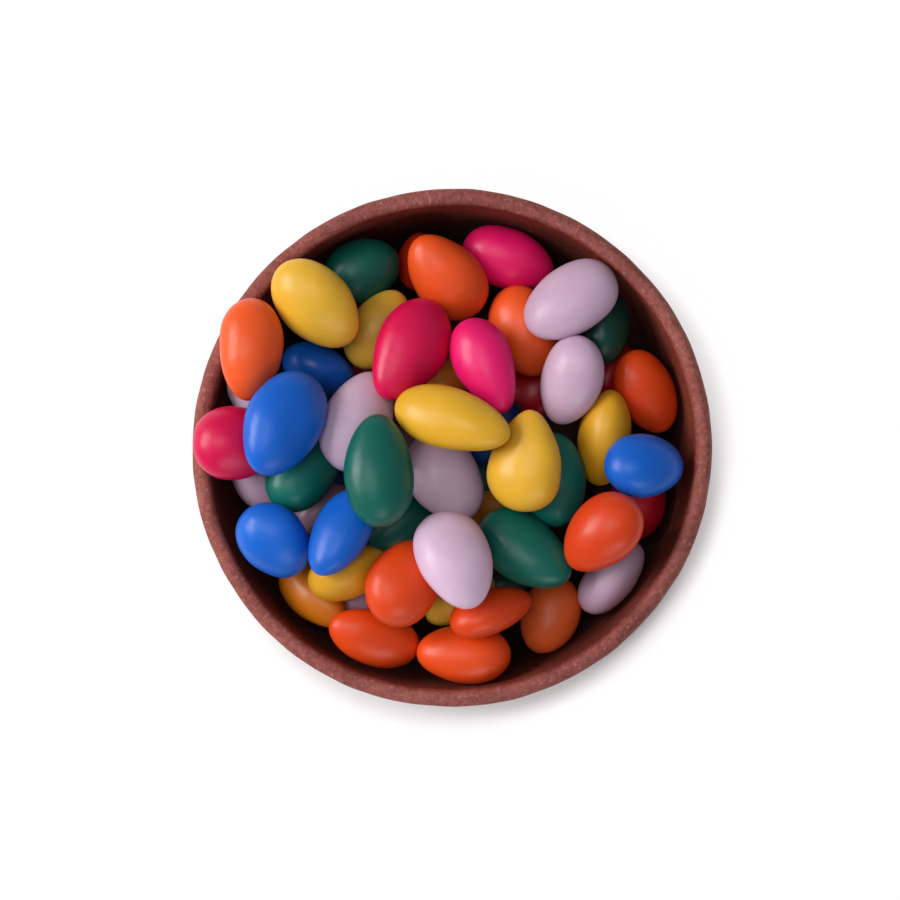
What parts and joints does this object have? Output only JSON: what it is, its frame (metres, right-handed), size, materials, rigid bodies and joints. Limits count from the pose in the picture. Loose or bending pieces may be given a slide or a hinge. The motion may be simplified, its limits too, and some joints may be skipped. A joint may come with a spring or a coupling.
{
  "type": "bowl of sugared almonds",
  "caption": "Round thick-walled clay bowl heaped with egg-shaped sugar-coated almonds in mixed bright colours, some lying over the lip.",
  "frame": {"origin": "middle of the bowl's flat foot, on the surface that it stands on", "axes": "+Z up out of the bowl, +X to the right and +Y up as seen in the picture, which looks straight down"},
  "size_m": [0.1378, 0.138, 0.0785],
  "materials": {
    "clay": "unglazed reddish-brown clay with fine pale pink mica specks on the lip",
    "sugar_orange": "smooth satin-gloss orange sugar shell",
    "sugar_yellow": "smooth satin-gloss yellow sugar shell",
    "sugar_pink": "smooth satin-gloss deep pink sugar shell",
    "sugar_blue": "smooth satin-gloss blue sugar shell",
    "sugar_green": "smooth satin-gloss dark green sugar shell",
    "sugar_white": "smooth satin-gloss lilac-white sugar shell"
  },
  "bodies": {
    "root": {"bowl": "clay", "almond_heap": "sugar_orange"}
  },
  "joints": []
}
